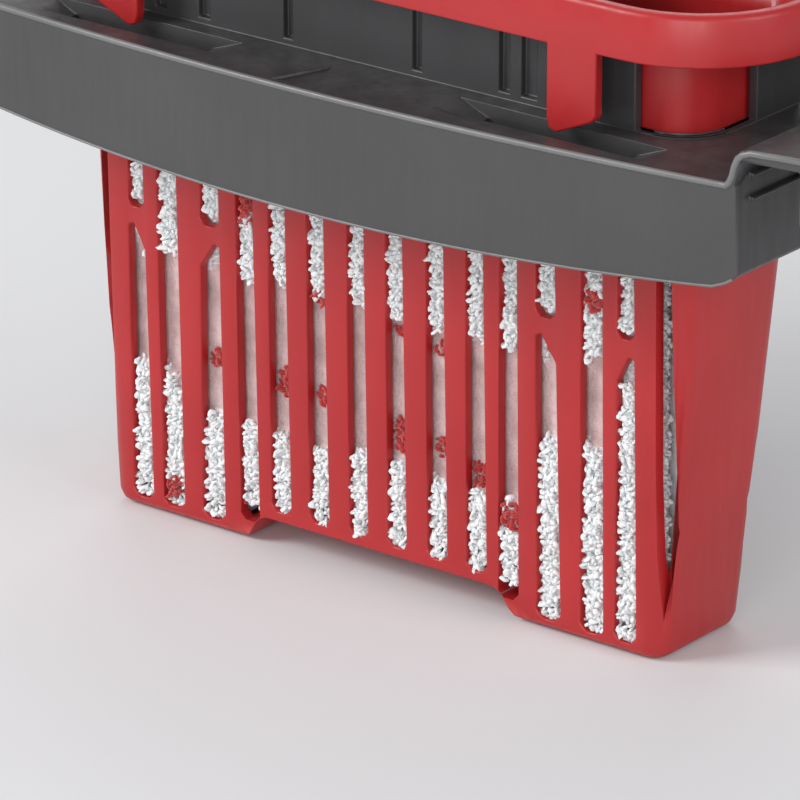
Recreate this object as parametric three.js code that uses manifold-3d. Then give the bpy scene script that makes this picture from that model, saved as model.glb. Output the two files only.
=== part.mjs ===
// Press wringer of a flat-mop bucket with the folded mop pushed into it. Millimetres, +Z up.
// Built with Z = 0 at the basket's feet, then shifted so the origin is on the rim rest.
import * as THREE from 'three';
import Module from 'manifold-3d';

const wasm = await Module();
wasm.setup();

// ---------------------------------------------------------------- driving dimensions
const GAP = 0.35; // clearance between pieces that touch

// Frame: tray with a bowed front skirt, hooked over the bucket's rim.
const FRAME_HALF_W = 110;
const FRAME_BACK = 50;
const BOW_FRONT = -42.5; // y of the skirt's face at the middle
const BOW_RATE = 0.0006; // how fast the face falls back, per mm squared
const FRAME_WALL = 2.4;
const TRAY_Z = 122; // top of the tray floor
const TRAY_T = 2;
const SKIRT_LOW = 94.5; // skirt's lower edge at the middle
const SKIRT_ARC = 0.00043; // its rise toward the ends, per mm squared
// The lower edge's turn up at each end, [x, z].
const SKIRT_ENDS = [[104, 99.2], [107, 100.4], [109, 101.8], [110.6, 103.4], [130, 103.4]];
const FLANGE_TOP = 130;
const FLANGE_T = 2.4;
const FLANGE_SIDE = 16; // how far the flange stands out past the side walls
const FLANGE_BACK = 24; // and past the back wall
const LIP_LOW = 116; // lower edge of the flange's turned-down lip
const FLANGE_CORNER = 16;

// Collar that guides the basket's neck.
const COLLAR_TOP = 139;
const COLLAR_FRONT = -20.3;
const COLLAR_T = 2.4;
const COLLAR_END = 72.5;
const COLLAR_SIDE = [1, 17]; // y of the collar's part beside the neck
const GROOVE_DEPTH = 1.6;
// Grooves down the collar, [x, width].
const COLLAR_GROOVES = [[-57, 3], [-44.6, 3], [-21, 2.4], [14.5, 2.4], [38, 2.8], [44.6, 4]];

// Drain pockets in the tray's ledge.
const POCKET = { x0: 28, x1: 86, y0: -35, y1: -24.8, low: 114.3 };
const POCKET_SLIT = { width: 3.8, top: 119.2 }; // deep slit along its far wall
const POCKET_WALL = 1;

// Basket: [z, half width, front y, back y, corner radius].
const BASKET = [
  [0, 75.4, -13.4, 13.4, 3.2], [1, 76.9, -14.9, 14.9, 4.4], [3, 77.6, -15.65, 15.9, 5],
  [45, 80.3, -16.4, 20.3, 6.5], [90, 83, -17.2, 25, 8.5], [112, 84.5, -17.5, 27, 9.5],
  [120, 85.6, -17.2, 27.4, 11], [141, 85.6, -17.2, 27.4, 11],
];
const BASKET_WALL = 2.8;
const SIDE_WALL = 2.2;
const BASKET_FLOOR = 2.4;
const FOOT_X = 36; // inner end of each foot
const FOOT_RISE = 7; // height of the middle above the feet
const SLOT_TOP = 110;
const WEB_LOW = 69.5;
const WEB_HIGH = 73.5;
// Slots right of the middle: [top left, top right, bottom left, bottom right, has a web, end z].
const SLOTS = [
  [3.1, 7.6, 2.8, 8.1, 0, 9.2], [14.4, 18.9, 13.8, 19.5, 0, 9.2], [25.3, 29.8, 24.7, 30.4, 0, 9.2],
  [34.6, 39, 33.6, 39.4, 0, 5], [44.2, 49, 44, 50.6, 1, 2.6], [56.4, 61.9, 55.9, 62.1, 0, 2.6],
  [66.2, 70.1, 65.1, 71, -1, 2.8],
];
const CORNER_SLOT = [[76.2, 110], [76, 45], [76.2, 24], [77, 9.5], [78.3, 19], [79.2, 30], [79.5, 42],
  [79.5, 56], [79.3, 75], [79.1, 110]];
const CORNER_SLOT_DEPTH = 5; // how far it reaches back from the front and forward from the back

// Funnel rim round the top of the basket, with its four snap legs.
const RIM = { low: 140.6, top: 152, hx: 103, yf: -29.5, yb: 41, r: 28, wall: 2.2 };
const LEG = { x0: 56, x1: 68.8, low: 121.5, t: 2.4 };

// Folded mop.
const PAD_HALF_W = 74.5;
const PAD_TOP = 111;
const PAD_LOW = 11.5;
const PLATE_T = 2.6;
const PAD_OUTER = 4.4; // outer thickness of a pad, with its skin off the wall
const PAD_INNER = 1.6;
const PAD_SKIN = 0.6;
const PLATE_HALF_W = 67;
const HINGE_Z = 146;
const HINGE_FRONT_Y = -6.5;
const HINGE_BACK_Y = 16.5;
const BARREL_R = 3.6;
const BARREL_HALF_W = 26.5;
const PIN_R = 1.5;
const HUB_HALF_W = 31;
const CHEEK_T = 4;
const HUB_TOP = 156;
const PEDAL_Z = 160.5;
const PEDAL_Y = -9;
const LINK_Z = 168; // lower swivel axis
const SOCKET_Z = 182; // upper swivel axis
const HUB_Y = (HINGE_FRONT_Y + HINGE_BACK_Y) / 2;
const RIM_REST = [0, 62, FLANGE_TOP - FLANGE_T]; // where the frame rests on the bucket

// ---------------------------------------------------------------- materials
const plastic = (color, roughness) => new THREE.MeshStandardMaterial({ color, roughness });
const GREY = plastic(0x55565a, 0.6);
const RED = plastic(0xb3262b, 0.4);
const BLACK = plastic(0x2a2b2d, 0.55);
const WHITE = plastic(0xe9ebe8, 1);
const STEEL = new THREE.MeshStandardMaterial({ color: 0xb9bcc0, roughness: 0.35, metalness: 1 });

// ---------------------------------------------------------------- solids
function toManifold(geometry) {
  const flat = geometry.index ? geometry : geometry.clone();
  const pos = flat.attributes.position;
  const keys = new Map();
  const verts = [];
  const remap = [];
  for (let i = 0; i < pos.count; i += 1) {
    const p = [pos.getX(i), pos.getY(i), pos.getZ(i)];
    const key = p.map((v) => Math.round(v * 1e4)).join(',');
    if (!keys.has(key)) {
      keys.set(key, verts.length / 3);
      verts.push(...p);
    }
    remap.push(keys.get(key));
  }
  const source = flat.index ? Array.from(flat.index.array) : remap.map((_, i) => i);
  const tris = [];
  for (let i = 0; i < source.length; i += 3) {
    const [a, b, c] = [0, 1, 2].map((k) => remap[source[i + k]]);
    if (a !== b && b !== c && a !== c) tris.push(a, b, c);
  }
  const mesh = new wasm.Mesh({
    numProp: 3, vertProperties: new Float32Array(verts), triVerts: new Uint32Array(tris),
  });
  return new wasm.Manifold(mesh);
}

function piece(name, solid, material) {
  const out = solid.getMesh();
  const geometry = new THREE.BufferGeometry();
  geometry.setAttribute('position', new THREE.BufferAttribute(new Float32Array(out.vertProperties), 3));
  geometry.setIndex(new THREE.BufferAttribute(new Uint32Array(out.triVerts), 1));
  const mesh = new THREE.Mesh(geometry, material);
  mesh.name = name;
  return mesh;
}

const join = (first, ...rest) => rest.reduce((sum, solid) => sum.add(solid), first);
const cut = (first, ...rest) => rest.reduce((left, solid) => left.subtract(solid), first);

function box(x0, x1, y0, y1, z0, z1) {
  const g = new THREE.BoxGeometry(x1 - x0, y1 - y0, z1 - z0);
  g.translate((x0 + x1) / 2, (y0 + y1) / 2, (z0 + z1) / 2);
  return toManifold(g);
}

// Extrudes [x, y] points up from z0 to z1.
function prism(points, z0, z1) {
  const shape = new THREE.Shape(points.map(([x, y]) => new THREE.Vector2(x, y)));
  const g = new THREE.ExtrudeGeometry(shape, { depth: z1 - z0, bevelEnabled: false });
  g.translate(0, 0, z0);
  return toManifold(g);
}

// Extrudes [x, z] points along Y from y0 to y1.
function slabY(points, y0, y1) {
  const shape = new THREE.Shape(points.map(([x, z]) => new THREE.Vector2(x, z)));
  const g = new THREE.ExtrudeGeometry(shape, { depth: y1 - y0, bevelEnabled: false });
  g.rotateX(Math.PI / 2);
  g.translate(0, y1, 0);
  return toManifold(g);
}

// Extrudes [y, z] points along X from x0 to x1.
function slabX(points, x0, x1) {
  const shape = new THREE.Shape(points.map(([y, z]) => new THREE.Vector2(y, z)));
  const g = new THREE.ExtrudeGeometry(shape, { depth: x1 - x0, bevelEnabled: false });
  g.rotateX(Math.PI / 2);
  g.rotateZ(Math.PI / 2);
  g.translate(x0, 0, 0);
  return toManifold(g);
}

function rodX(radius, x0, x1, y, z, sides = 20) {
  const g = new THREE.CylinderGeometry(radius, radius, x1 - x0, sides);
  g.rotateZ(Math.PI / 2);
  g.translate((x0 + x1) / 2, y, z);
  return toManifold(g);
}

function rodY(radius, y0, y1, x, z, sides = 20) {
  const g = new THREE.CylinderGeometry(radius, radius, y1 - y0, sides);
  g.translate(x, (y0 + y1) / 2, z);
  return toManifold(g);
}

// Lathe of [radius, z] points round a vertical axis through (x, y).
function turned(profile, x, y, sides = 32) {
  const g = new THREE.LatheGeometry(profile.map(([r, z]) => new THREE.Vector2(r, z)), sides);
  g.rotateX(Math.PI / 2);
  g.translate(x, y, 0);
  return toManifold(g);
}

function roundedRect(x0, x1, y0, y1, r, steps = 6) {
  const points = [];
  const corners = [[x1 - r, y0 + r, -90], [x1 - r, y1 - r, 0], [x0 + r, y1 - r, 90], [x0 + r, y0 + r, 180]];
  for (const [cx, cy, start] of corners) {
    for (let i = 0; i <= steps; i += 1) {
      const a = THREE.MathUtils.degToRad(start + (90 * i) / steps);
      points.push([cx + r * Math.cos(a), cy + r * Math.sin(a)]);
    }
  }
  return points;
}

// Skins a stack of rounded rectangles [z, half width, front y, back y, corner radius].
function loft(sections, steps = 6) {
  const rings = sections.map(([z, hx, yf, yb, r]) => (
    roundedRect(-hx, hx, yf, yb, r, steps).map(([x, y]) => [x, y, z])));
  const count = rings[0].length;
  const verts = rings.flat(2);
  const index = [];
  for (let s = 0; s < rings.length - 1; s += 1) {
    for (let i = 0; i < count; i += 1) {
      const [a, b] = [s * count + i, s * count + ((i + 1) % count)];
      index.push(a, b, b + count, a, b + count, a + count);
    }
  }
  const last = (rings.length - 1) * count;
  for (let i = 1; i < count - 1; i += 1) {
    index.push(0, i + 1, i, last, last + i, last + i + 1);
  }
  const g = new THREE.BufferGeometry();
  g.setAttribute('position', new THREE.Float32BufferAttribute(verts, 3));
  g.setIndex(index);
  return toManifold(g);
}

const mirrorX = (solid) => solid.mirror([1, 0, 0]);
const mirrorY = (solid, y) => solid.mirror([0, 1, 0]).translate([0, 2 * y, 0]);

// The solid and its mirror images left and right, front and back.
function fourfold(solid) {
  const pair = solid.add(mirrorX(solid));
  return pair.add(mirrorY(pair, (RIM.yf + RIM.yb) / 2));
}

// ---------------------------------------------------------------- frame
const bowY = (x) => BOW_FRONT + BOW_RATE * x * x;

// Plan of the room under the tray, a wall's thickness inside its bowed face.
function trayPlan(inset) {
  const half = FRAME_HALF_W - inset;
  const points = [];
  const stations = 22;
  for (let i = 0; i <= stations; i += 1) {
    const x = -half + (2 * half * i) / stations;
    points.push([x, bowY(x) + inset]);
  }
  points.push([half, FRAME_BACK - inset], [-half, FRAME_BACK - inset]);
  return points;
}

// Everything in front of the bowed face, for trimming the tray and the flange to it.
function aheadOfBow() {
  const points = [[-140, -90], [140, -90]];
  for (let x = 140; x >= -140; x -= 10) points.push([x, bowY(x)]);
  return prism(points, 80, 150);
}

// Everything under the skirt's arched lower edge.
function underSkirt() {
  const points = [[-130, 80], [130, 80], ...[...SKIRT_ENDS].reverse()];
  for (let x = 95; x >= -95; x -= 10) points.push([x, SKIRT_LOW + SKIRT_ARC * x * x]);
  points.push(...SKIRT_ENDS.map(([x, z]) => [-x, z]));
  return slabY(points, -60, 60);
}

// Section of the step from the tray up to the flange, as [distance out, z].
function stepSection(wall) {
  const low = TRAY_Z - TRAY_T;
  return [
    [wall, low], [wall, FLANGE_TOP - FLANGE_T], [wall + 5, FLANGE_TOP - FLANGE_T],
    [wall + 5, FLANGE_TOP], [wall + 2.6, FLANGE_TOP], [wall + 0.6, FLANGE_TOP - 0.6],
    [wall - 1.2, FLANGE_TOP - 2.4], [wall - 2.2, TRAY_Z + 1.6], [wall - 3.2, TRAY_Z + 0.4],
    [wall - 4.6, TRAY_Z], [wall - 4.6, low],
  ];
}

function flange() {
  const [x, y] = [FRAME_HALF_W + FLANGE_SIDE, FRAME_BACK + FLANGE_BACK];
  const outer = roundedRect(-x, x, -60, y, FLANGE_CORNER);
  const t = FRAME_WALL;
  const inner = roundedRect(-x + t, x - t, -60 - t, y - t, FLANGE_CORNER - t);
  const under = FLANGE_TOP - FLANGE_T;
  const lip = prism(outer, LIP_LOW, FLANGE_TOP).subtract(prism(inner, LIP_LOW - 1, under));
  const hole = box(-FRAME_HALF_W, FRAME_HALF_W, -70, FRAME_BACK, LIP_LOW - 1, FLANGE_TOP + 1);
  return cut(lip, hole, box(-140, 140, -90, -50, 100, 140));
}

// Long ribs on the outside of each side wall, where the bucket's rim slides in.
function sideRibs() {
  const at = (z) => box(FRAME_HALF_W - 0.5, FRAME_HALF_W + 1.2, -32, 36, z, z + 1);
  return join(at(123.4), at(118.2));
}

function collar() {
  const back = BASKET[7][3] + (BASKET[7][2] - COLLAR_FRONT);
  const half = BASKET[7][1] + (BASKET[7][2] - COLLAR_FRONT);
  const outer = roundedRect(-half, half, COLLAR_FRONT, back, 13);
  const t = COLLAR_T;
  const inner = roundedRect(-half + t, half - t, COLLAR_FRONT + t, back - t, 13 - t);
  const ring = prism(outer, TRAY_Z - 1, COLLAR_TOP).subtract(prism(inner, TRAY_Z - 2, COLLAR_TOP + 1));
  const gapLow = TRAY_Z + 0.01;
  const gap = (y0, y1) => box(COLLAR_END, 100, y0, y1, gapLow, 150);
  const corners = gap(-40, COLLAR_SIDE[0]).add(gap(COLLAR_SIDE[1], 60));
  const middle = (COLLAR_FRONT + back) / 2;
  const grooves = COLLAR_GROOVES.flatMap(([x, w]) => {
    const front = box(x - w / 2, x + w / 2, -40, COLLAR_FRONT + GROOVE_DEPTH, TRAY_Z + 1.6, 150);
    return [front, mirrorY(front, middle)];
  });
  return cut(ring, corners, mirrorX(corners), ...grooves);
}

// A trough with an upright far wall, sloped near wall and ends, and a deep slit along the far wall.
function pocketCutter({ x0, x1, y0, y1, low }) {
  const ring = (xa, xb, ya, yb, z) => [[xa, ya, z], [xb, ya, z], [xb, yb, z], [xa, yb, z]];
  const { width, top } = POCKET_SLIT;
  const far = y1 - 0.3;
  const trough = [...ring(x0, x1, y0, y1, TRAY_Z + 0.5), ...ring(x0 + 9, x1 - 8, far - width, far, top)];
  const slit = box(x0 + 10, x1 - 9, far - width, far, low + POCKET_WALL, top + 0.5);
  return wasm.Manifold.hull(trough).add(slit);
}

function pocketShell({ x0, x1, y0, y1, low }) {
  const top = TRAY_Z - 1;
  return box(x0 + 9, x1 - 8, y1 - 5.2, y1 + POCKET_WALL, low, top).add(
    box(x0 + 1, x1, y0 + 1 - POCKET_WALL, y1 + POCKET_WALL, POCKET_SLIT.top - POCKET_WALL, top));
}

function centreFacet() {
  return prism([[-10, -39.5], [2, -39.5], [-5, -25]], TRAY_Z - 0.8, TRAY_Z + 1);
}

function wringerFrame() {
  const tub = box(-FRAME_HALF_W, FRAME_HALF_W, -48, FRAME_BACK, SKIRT_LOW - 1, TRAY_Z)
    .subtract(prism(trayPlan(FRAME_WALL), SKIRT_LOW - 2, TRAY_Z - TRAY_T));
  const side = slabY(stepSection(FRAME_HALF_W), -46, FRAME_BACK + 2);
  const back = slabX(stepSection(FRAME_BACK), -FRAME_HALF_W - 2, FRAME_HALF_W + 2);
  const ribs = sideRibs();
  const bosses = fourfold(pocketShell(POCKET));
  const body = join(tub, side, mirrorX(side), back, flange(), bosses, ribs, mirrorX(ribs));
  const neck = BASKET[7];
  const hole = prism(roundedRect(-neck[1] - 0.8, neck[1] + 0.8, neck[2] - 0.8, neck[3] + 0.8, 11.8), 90, 150);
  const pockets = fourfold(pocketCutter(POCKET));
  const opened = cut(body, hole, pockets, centreFacet(), underSkirt(), aheadOfBow());
  return piece('wringer_frame', opened.add(collar()), GREY);
}

// ---------------------------------------------------------------- basket
// Section [x, z] of the raised middle of the basket's underside, lifted by a height.
function archSection(lift, grow) {
  const x = FOOT_X + grow;
  const z = FOOT_RISE + lift;
  const low = -5 + lift;
  return [[-x - 4, low], [x + 4, low], [x + 4, lift], [x + 1.5, 1.2 + lift], [x, 3.5 + lift],
    [x - 1.5, 5.8 + lift], [x - 4, z], [-x + 4, z], [-x + 1.5, 5.8 + lift], [-x, 3.5 + lift],
    [-x - 1.5, 1.2 + lift], [-x - 4, lift]];
}

const lerp = (a, b, t) => a + (b - a) * t;

// A slot's outline between two heights, its ends rounded or, at a web, slanted.
function slotOutline([tl, tr, bl, br], z0, z1, slant = 0) {
  const edge = (z) => {
    const t = z / 100;
    return [lerp(bl, tl, t), lerp(br, tr, t)];
  };
  const [a0, b0] = edge(z0);
  const [a1, b1] = edge(z1);
  const c = (b0 - a0) * 0.28;
  const points = [[a0, z0 + c], [a0 + c, z0], [b0 - c, z0], [b0, z0 + c]];
  if (slant > 0) points.push([b1, z1 - 6], [a1 + 1.4, z1], [a1, z1 - 0.6]);
  else if (slant < 0) points.push([b1, z1 - 0.6], [b1 - 1.4, z1], [a1, z1 - 6]);
  else points.push([b1, z1 - c], [b1 - c, z1], [a1 + c, z1], [a1, z1 - c]);
  return points;
}

function slotCutters() {
  const cutters = [];
  for (const slot of SLOTS) {
    const [web, end] = [slot[4], slot[5]];
    const parts = web
      ? [slotOutline(slot, end, WEB_LOW, web), slotOutline(slot, WEB_HIGH, SLOT_TOP)]
      : [slotOutline(slot, end, SLOT_TOP)];
    for (const outline of parts) cutters.push(slabY(outline, -40, 40));
  }
  const front = slabY(CORNER_SLOT, -40, BASKET[2][2] + CORNER_SLOT_DEPTH);
  const back = slabY(CORNER_SLOT, BASKET[2][3] - CORNER_SLOT_DEPTH, 40);
  return [...cutters, front, back];
}

function basketCavity() {
  const inner = BASKET.map(([z, hx, yf, yb, r]) => (
    [z, hx - SIDE_WALL, yf + BASKET_WALL, yb - BASKET_WALL, Math.max(r - BASKET_WALL, 1.5)]));
  const low = [BASKET_FLOOR, ...inner[1].slice(1)];
  const stack = [low, ...inner.slice(2, 7), [160, ...inner[7].slice(1)]];
  return loft(stack).subtract(slabY(archSection(BASKET_FLOOR, 1.5), -60, 60));
}

const rimRing = (z, inset) => [z, RIM.hx - inset, RIM.yf + inset, RIM.yb - inset, RIM.r - inset];

function funnelRim() {
  const neck = BASKET[7];
  const outer = loft([rimRing(RIM.low, 0), rimRing(RIM.top - 1.4, 0), rimRing(RIM.top - 0.4, 0.4),
    rimRing(RIM.top, 1.4)], 10);
  const t = BASKET_WALL;
  const mouth = loft([
    [RIM.low - 4, neck[1] - SIDE_WALL, neck[2] + t, neck[3] - t, neck[4] - t],
    [RIM.low, neck[1] - SIDE_WALL, neck[2] + t, neck[3] - t, neck[4] - t],
    rimRing(RIM.top - 0.6, 3.4), rimRing(RIM.top + 0.5, 2.6)], 10);
  const under = loft([rimRing(RIM.low - 1, RIM.wall), rimRing(RIM.top - 3, RIM.wall)], 10);
  const [, ...outline] = neck;
  const core = loft([[RIM.low - 1.5, ...outline], [RIM.low - 1, ...outline],
    rimRing(RIM.top - 3.6, RIM.wall + 1.2), rimRing(RIM.top - 2.5, RIM.wall + 0.8)], 10);
  return { shell: outer.subtract(under.subtract(core)), mouth };
}

// Snap leg: hangs from the rim's face into a pocket of the tray.
function snapLeg({ x0, x1 }) {
  const c = 3;
  const outline = [[x0 + c * 0.6, LEG.low], [x0 + c, LEG.low], [x1 - 1.6, LEG.low + 3.6],
    [x1 - 0.5, LEG.low + 4.4], [x1, LEG.low + 5.6], [x1, RIM.low + 2], [x0, RIM.low + 2],
    [x0, LEG.low + c], [x0 + 0.5, LEG.low + 0.8]];
  return slabY(outline, RIM.yf, RIM.yf + LEG.t);
}

function pressBasket() {
  const { shell, mouth } = funnelRim();
  const outer = join(loft(BASKET), shell, fourfold(snapLeg(LEG)));
  const arch = slabY(archSection(0, 0), -60, 60);
  const right = slotCutters();
  const openings = [arch, basketCavity(), mouth, ...right, ...right.map(mirrorX)];
  return piece('press_basket', cut(outer, ...openings), RED);
}

// ---------------------------------------------------------------- folded mop
// The basket's inner faces at a height, and the middle between them.
const innerFront = (z) => lerp(BASKET[2][2], BASKET[4][2], z / 90) + BASKET_WALL;
const innerBack = (z) => lerp(BASKET[2][3], BASKET[4][3], z / 90) - BASKET_WALL;

// Section [y, z] of one pad: a pocket over the plate's end, thick outside and thin inside.
function padSection(sign) {
  const wall = sign < 0 ? innerFront : innerBack;
  const at = (z, depth) => wall(z) - sign * depth;
  const skin = PAD_SKIN;
  const outer = PAD_OUTER;
  const slot = outer + PLATE_T + 2 * GAP;
  const inner = slot + PAD_INNER;
  return [
    [at(PAD_LOW, skin + 1), PAD_LOW], [at(PAD_LOW, inner - 0.8), PAD_LOW],
    [at(PAD_LOW + 3, inner), PAD_LOW + 3],
    [at(PAD_TOP - 8, inner), PAD_TOP - 8], [at(PAD_TOP - 8, slot), PAD_TOP - 8],
    [at(PAD_LOW + 6, slot), PAD_LOW + 6], [at(PAD_LOW + 6, outer), PAD_LOW + 6],
    [at(PAD_TOP, outer), PAD_TOP], [at(PAD_TOP, skin + 1.4), PAD_TOP],
    [at(PAD_TOP - 3, skin), PAD_TOP - 3], [at(PAD_LOW + 3, skin), PAD_LOW + 3],
  ];
}

function mopPad(name, sign) {
  const section = padSection(sign);
  const points = sign < 0 ? section : [...section].reverse();
  return piece(name, slabX(points, -PAD_HALF_W, PAD_HALF_W), WHITE);
}

// One half of the folding plate, with the hinge barrel along its top edge.
function mopPlate(name, sign) {
  const wall = sign < 0 ? innerFront : innerBack;
  const y = sign < 0 ? HINGE_FRONT_Y : HINGE_BACK_Y;
  const low = PAD_LOW + 6 + GAP;
  const depth = PAD_OUTER + GAP;
  const face = (z, d) => wall(z) - sign * d;
  const section = [
    [face(low, depth), low], [face(low, depth + PLATE_T), low], [face(124, depth + PLATE_T), 124],
    [y - sign * 0.1, 134], [y - sign * 1.5, HINGE_Z], [y + sign * 1.5, HINGE_Z], [y + sign * 3, 134],
    [face(124, depth), 124],
  ];
  const sheet = slabX(sign < 0 ? section : [...section].reverse(), -PLATE_HALF_W, PLATE_HALF_W);
  const shoulder = box(BARREL_HALF_W, PLATE_HALF_W + 1, -30, 40, 131, 160);
  const windows = [-46, -15.5, 15.5, 46].map((x) => box(x - 11, x + 11, -40, 40, 120.5, 127));
  const barrel = rodX(BARREL_R, -BARREL_HALF_W, BARREL_HALF_W, y, HINGE_Z);
  const bore = rodX(PIN_R + GAP, -40, 40, y, HINGE_Z);
  const plate = cut(sheet, shoulder, mirrorX(shoulder), ...windows);
  return piece(name, cut(plate.add(barrel), bore), BLACK);
}

function hinge(name, y) {
  return piece(name, rodX(PIN_R, -HUB_HALF_W + 0.6, HUB_HALF_W - 0.6, y, HINGE_Z), STEEL);
}

function mopHub() {
  const y0 = HINGE_FRONT_Y - 5;
  const y1 = HINGE_BACK_Y + 5;
  const top = HUB_TOP;
  const cheek = (x0, x1) => slabX([[y0 + 3, 140.5], [y1 - 3, 140.5], [y1, 143.5], [y1, top], [y0, top],
    [y0, 143.5]], x0, x1);
  const bridge = slabX([[y0, 151], [y1, 151], [y1, top - 1.5], [y1 - 1.5, top], [y0 + 1.5, top],
    [y0, top - 1.5]], -HUB_HALF_W, HUB_HALF_W);
  const fork = (x0, x1) => slabX([[HUB_Y - 9, top - 1], [HUB_Y + 9, top - 1], [HUB_Y + 6, LINK_Z],
    [HUB_Y + 4, LINK_Z + 4.5], [HUB_Y - 4, LINK_Z + 4.5], [HUB_Y - 6, LINK_Z]], x0, x1);
  const lug = (x0, x1) => slabX([[PEDAL_Y - 3.5, top - 1], [PEDAL_Y + 3.5, top - 1],
    [PEDAL_Y + 2.5, PEDAL_Z + 2.6], [PEDAL_Y - 2.5, PEDAL_Z + 2.6]], x0, x1);
  const body = join(cheek(-HUB_HALF_W, -HUB_HALF_W + CHEEK_T), cheek(HUB_HALF_W - CHEEK_T, HUB_HALF_W),
    bridge, fork(-13, -9), fork(9, 13), lug(-21, -18.4), lug(18.4, 21));
  const bore = (half, y, z) => rodX(PIN_R + GAP, -half, half, y, z);
  const blind = HUB_HALF_W - 0.3;
  return piece('mop_hub', cut(body, bore(blind, HINGE_FRONT_Y, HINGE_Z), bore(blind, HINGE_BACK_Y, HINGE_Z),
    bore(14, HUB_Y, LINK_Z), bore(20.4, PEDAL_Y, PEDAL_Z)), BLACK);
}

function footPedal() {
  const z = PEDAL_Z;
  const y = PEDAL_Y;
  const tread = slabX([[y + 2.6, z - 1.4], [y + 2.6, z + 1.6], [y - 4, z + 3], [y - 30, z + 5.5],
    [y - 34, z + 4.6], [y - 34, z + 2.4], [y - 30, z + 2.6], [y - 4, z - 0.6]], -18, 18);
  const barrel = rodX(2.9, -18, 18, y, z);
  const groove = (i) => box(-14, 14, y - 29 + 5 * i, y - 27 + 5 * i, z + 4.4 - 0.45 * i, z + 9);
  const bore = rodX(PIN_R + GAP, -20, 20, y, z);
  return piece('foot_pedal', cut(tread.add(barrel), bore, ...[0, 1, 2, 3, 4].map(groove)), RED);
}

function swivelLink() {
  const block = box(-8.6, 8.6, HUB_Y - 4.6, HUB_Y + 4.6, LINK_Z, SOCKET_Z);
  const lower = rodX(4.6, -8.6, 8.6, HUB_Y, LINK_Z);
  const upper = rodY(4.6, HUB_Y - 4.6, HUB_Y + 4.6, 0, SOCKET_Z);
  const waist = (x0, x1) => box(x0, x1, -20, 40, LINK_Z + 6, 190);
  const body = join(cut(block, waist(-12, -4.6), waist(4.6, 12)), lower, upper);
  return piece('swivel_link', cut(body, rodX(PIN_R + GAP, -20, 20, HUB_Y, LINK_Z),
    rodY(PIN_R + GAP, -20, 40, 0, SOCKET_Z)), RED);
}

function poleSocket() {
  const profile = [[0, 188.5], [10, 188.5], [13, 194], [14, 204], [14, 240], [15, 241], [15, 250],
    [14.2, 251], [11.6, 251], [11.2, 249], [11.2, 200], [0, 200]];
  const fork = [[-5, 176.8], [5, 176.8], [8, SOCKET_Z], [9, 192], [-9, 192], [-8, SOCKET_Z]];
  const body = join(turned(profile, 0, HUB_Y, 40), slabY(fork, HUB_Y - 9, HUB_Y - 5),
    slabY(fork, HUB_Y + 5, HUB_Y + 9));
  return piece('pole_socket', cut(body, rodY(PIN_R + GAP, HUB_Y - 8.5, HUB_Y + 8.5, 0, SOCKET_Z)), BLACK);
}

function swivelPins() {
  return [
    piece('swivel_pin_lower', rodX(PIN_R, -13, 13, HUB_Y, LINK_Z), STEEL),
    piece('swivel_pin_upper', rodY(PIN_R, HUB_Y - 8, HUB_Y + 8, 0, SOCKET_Z), STEEL),
    piece('pedal_pin', rodX(PIN_R, -20, 20, PEDAL_Y, PEDAL_Z), STEEL),
  ];
}

// ---------------------------------------------------------------- assembly
const group = new THREE.Group();
group.name = 'press_wringer';
group.add(
  wringerFrame(), pressBasket(),
  mopPad('mop_pad_front', -1), mopPad('mop_pad_back', 1),
  mopPlate('mop_plate_front', -1), mopPlate('mop_plate_back', 1),
  hinge('hinge_pin_front', HINGE_FRONT_Y), hinge('hinge_pin_back', HINGE_BACK_Y),
  mopHub(), footPedal(), swivelLink(), poleSocket(), ...swivelPins(),
);
group.position.set(-RIM_REST[0], -RIM_REST[1], -RIM_REST[2]);

export default group;
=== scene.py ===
"""Looks of a flat-mop press wringer: a grey rim tray, a red slotted basket and the mop folded in it."""
import logging
import math
import random
from collections.abc import Callable, Iterable
from dataclasses import dataclass, field
from enum import Enum

import bmesh
import bpy
from mathutils import Matrix, Vector, noise


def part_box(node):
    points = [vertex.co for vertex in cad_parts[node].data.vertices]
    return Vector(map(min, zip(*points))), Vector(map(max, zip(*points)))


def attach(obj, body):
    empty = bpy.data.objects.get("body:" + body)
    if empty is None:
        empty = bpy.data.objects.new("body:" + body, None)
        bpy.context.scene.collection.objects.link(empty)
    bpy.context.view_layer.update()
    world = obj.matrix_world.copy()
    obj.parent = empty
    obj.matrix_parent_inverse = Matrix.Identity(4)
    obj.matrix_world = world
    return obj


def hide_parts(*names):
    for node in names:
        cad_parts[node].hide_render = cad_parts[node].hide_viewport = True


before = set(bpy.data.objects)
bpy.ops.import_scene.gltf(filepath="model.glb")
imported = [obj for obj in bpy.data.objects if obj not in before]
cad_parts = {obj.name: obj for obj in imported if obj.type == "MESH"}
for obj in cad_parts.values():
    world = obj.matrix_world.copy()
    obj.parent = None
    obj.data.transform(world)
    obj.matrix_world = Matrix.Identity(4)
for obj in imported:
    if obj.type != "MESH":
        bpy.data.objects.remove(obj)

LOG = logging.getLogger("press_wringer")
MM = 0.001
BENCH = Vector((0.0, 62.0, 127.6))  # the frame's origin, in millimetres from the basket's feet
WELD = 2e-6  # metres within which two corners are the same corner
Colour = tuple[float, float, float]


class Slot(Enum):
    """The record's material slots."""

    FRAME = "frame_grey"
    BASKET = "basket_red"
    PILE = "microfibre"
    HEAD = "mop_black"
    PEDAL = "pedal_red"
    PIN = "pin_steel"


class Side(Enum):
    """Which half of the folded mop a pad belongs to, as the sign of its outward Y."""

    FRONT = -1
    BACK = 1


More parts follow.
